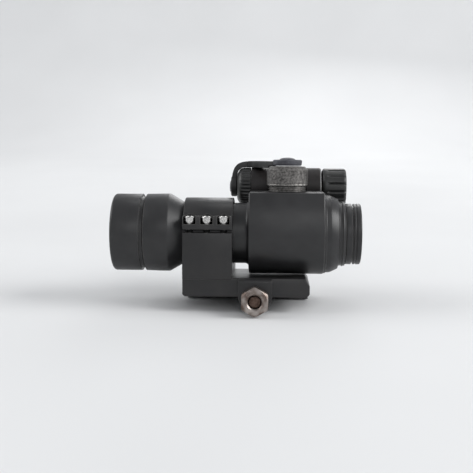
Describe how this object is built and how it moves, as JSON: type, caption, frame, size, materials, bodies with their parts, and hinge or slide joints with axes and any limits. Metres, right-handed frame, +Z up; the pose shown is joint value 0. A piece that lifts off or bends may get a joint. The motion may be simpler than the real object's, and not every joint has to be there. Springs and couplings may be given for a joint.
{
  "type": "red dot finder sight",
  "caption": "Tube reflex sight that shows an aiming dot, in a clamped cantilever ring mount for an accessory rail, with capped adjusters and a brightness knob.",
  "frame": {"origin": "centre of the rail seat's width, under the elevation turret's axis", "axes": "+X from the objective end to the eyepiece end, along the optical axis; +Z up from the rail to the sight; -Y towards the side with the clamp nut"},
  "size_m": [0.122, 0.067, 0.0752],
  "materials": {
    "anodised_body": "matte black hard anodised",
    "anodised_mount": "matte black anodised, a little scuffed along its edges",
    "worn_cap": "knurled, black finish rubbed to grey",
    "coated_glass": "reflective coating",
    "clear_glass": "coated",
    "emitter": "clear red resin",
    "rubber": "matte",
    "strap_disc": "satin, dusty",
    "black_plastic": "matte",
    "ribbed_plastic": "ribbed",
    "bright_steel": "bright",
    "worn_steel": "plating worn, stained",
    "dark_steel": "browned",
    "brass": "turned",
    "circuit_board": "green laminate"
  },
  "bodies": {
    "frame": {"main_body": "anodised_body", "front_hood": "anodised_body", "objective_lens": "coated_glass", "objective_retaining_ring": "anodised_body", "eyepiece_cell": "anodised_body", "eyepiece_lens": "clear_glass", "eyepiece_retaining_ring": "anodised_body", "inner_tube_spring": "bright_steel", "elevation_turret_base": "worn_cap", "windage_turret_base": "worn_cap", "elevation_o_ring": "rubber", "windage_o_ring": "rubber", "switch_housing": "black_plastic", "battery_cap_o_ring": "rubber", "battery": "bright_steel", "battery_spring": "bright_steel", "circuit_board": "circuit_board", "switch_end_plate": "brass", "detent_spring": "bright_steel", "detent_ball": "bright_steel", "mount_base": "anodised_mount", "ring_cap": "anodised_mount", "clamp_bolt": "dark_steel", "near_ring_screw_1": "bright_steel", "far_ring_screw_1": "bright_steel", "near_ring_screw_2": "bright_steel", "far_ring_screw_2": "bright_steel", "near_ring_screw_3": "bright_steel", "far_ring_screw_3": "bright_steel"},
    "gimbal": {"gimbal_ring": "dark_steel"},
    "aiming_tube": {"inner_tube": "anodised_body", "emitter_holder": "black_plastic", "led_emitter": "emitter"},
    "elevation_dial": {"elevation_dial": "brass"},
    "elevation_plunger": {"elevation_plunger": "bright_steel"},
    "elevation_cap_carrier": {"elevation_strap_ring": "strap_disc", "elevation_strap_button": "strap_disc", "elevation_strap_arm": "rubber"},
    "elevation_cap": {"elevation_cap": "worn_cap"},
    "windage_dial": {"windage_dial": "brass"},
    "windage_plunger": {"windage_plunger": "bright_steel"},
    "windage_cap_carrier": {"windage_strap_ring": "strap_disc", "windage_strap_button": "strap_disc", "windage_strap_arm": "rubber"},
    "windage_cap": {"windage_cap": "worn_cap"},
    "battery_cap_carrier": {"battery_strap": "rubber", "battery_strap_button": "strap_disc"},
    "battery_cap": {"battery_cap": "ribbed_plastic"},
    "switch_knob": {"switch_knob": "ribbed_plastic", "switch_shaft": "bright_steel", "switch_wiper": "brass", "knob_screw": "dark_steel"},
    "clamp_plate": {"clamp_plate": "anodised_mount", "clamp_washer": "worn_steel"},
    "clamp_nut": {"clamp_nut": "worn_steel"}
  },
  "joints": [
    {"name": "elevation_dial_turn", "type": "hinge", "parent": "frame", "child": "elevation_dial", "pos_m": [0, 0, 0.0295], "axis": [0, 0, -1], "range_deg": [-540, 540]},
    {"name": "elevation_plunger_travel", "type": "slide", "parent": "frame", "child": "elevation_plunger", "axis": [0, 0, -1], "range_m": [-0.00076, 0.00076]},
    {"name": "elevation_tilt", "type": "hinge", "parent": "frame", "child": "gimbal", "pos_m": [-0.0438, 0, 0.0295], "axis": [0, 1, 0], "range_deg": [-0.99, 0.99]},
    {"name": "elevation_cap_lift", "type": "slide", "parent": "frame", "child": "elevation_cap_carrier", "axis": [0, 0, 1], "range_m": [0, 0.0041]},
    {"name": "elevation_cap_turn", "type": "hinge", "parent": "elevation_cap_carrier", "child": "elevation_cap", "pos_m": [0, 0, 0.0295], "axis": [0, 0, 1], "range_deg": [0, 1440]},
    {"name": "windage_dial_turn", "type": "hinge", "parent": "frame", "child": "windage_dial", "pos_m": [0, 0, 0.0295], "axis": [0, -1, 0], "range_deg": [-540, 540]},
    {"name": "windage_plunger_travel", "type": "slide", "parent": "frame", "child": "windage_plunger", "axis": [0, -1, 0], "range_m": [-0.00076, 0.00076]},
    {"name": "windage_tilt", "type": "hinge", "parent": "gimbal", "child": "aiming_tube", "pos_m": [-0.0438, 0, 0.0295], "axis": [0, 0, -1], "range_deg": [-0.99, 0.99]},
    {"name": "windage_cap_lift", "type": "slide", "parent": "frame", "child": "windage_cap_carrier", "axis": [0, 1, 0], "range_m": [0, 0.0041]},
    {"name": "windage_cap_turn", "type": "hinge", "parent": "windage_cap_carrier", "child": "windage_cap", "pos_m": [0, 0, 0.0295], "axis": [0, 1, 0], "range_deg": [0, 1440]},
    {"name": "battery_cap_lift", "type": "slide", "parent": "frame", "child": "battery_cap_carrier", "axis": [-1, 0, 0], "range_m": [0, 0.0036]},
    {"name": "battery_cap_turn", "type": "hinge", "parent": "battery_cap_carrier", "child": "battery_cap", "pos_m": [-0.0248, 0.0224, 0.0519], "axis": [-1, 0, 0], "range_deg": [0, 1260]},
    {"name": "switch_turn", "type": "hinge", "parent": "frame", "child": "switch_knob", "pos_m": [0.0252, 0.0224, 0.0519], "axis": [-1, 0, 0], "range_deg": [0, 300]},
    {"name": "clamp_open", "type": "slide", "parent": "frame", "child": "clamp_plate", "axis": [0, -1, 0], "range_m": [0, 0.0031]},
    {"name": "nut_turn", "type": "hinge", "parent": "clamp_plate", "child": "clamp_nut", "pos_m": [-0.015, -0.0264, -0.0008], "axis": [0, -1, 0], "range_deg": [0, 1080]}
  ],
  "couplings": [
    {"joint": "elevation_plunger_travel", "follows": "elevation_dial_turn", "m_per_rad": 0.000079577},
    {"joint": "elevation_tilt", "follows": "elevation_dial_turn", "ratio": 0.0018168},
    {"joint": "elevation_cap_lift", "follows": "elevation_cap_turn", "m_per_rad": 0.00015915},
    {"joint": "windage_plunger_travel", "follows": "windage_dial_turn", "m_per_rad": 0.000079577},
    {"joint": "windage_tilt", "follows": "windage_dial_turn", "ratio": 0.0018168},
    {"joint": "windage_cap_lift", "follows": "windage_cap_turn", "m_per_rad": 0.00015915},
    {"joint": "battery_cap_lift", "follows": "battery_cap_turn", "m_per_rad": 0.00015915},
    {"joint": "clamp_open", "follows": "nut_turn", "m_per_rad": 0.00015915}
  ]
}
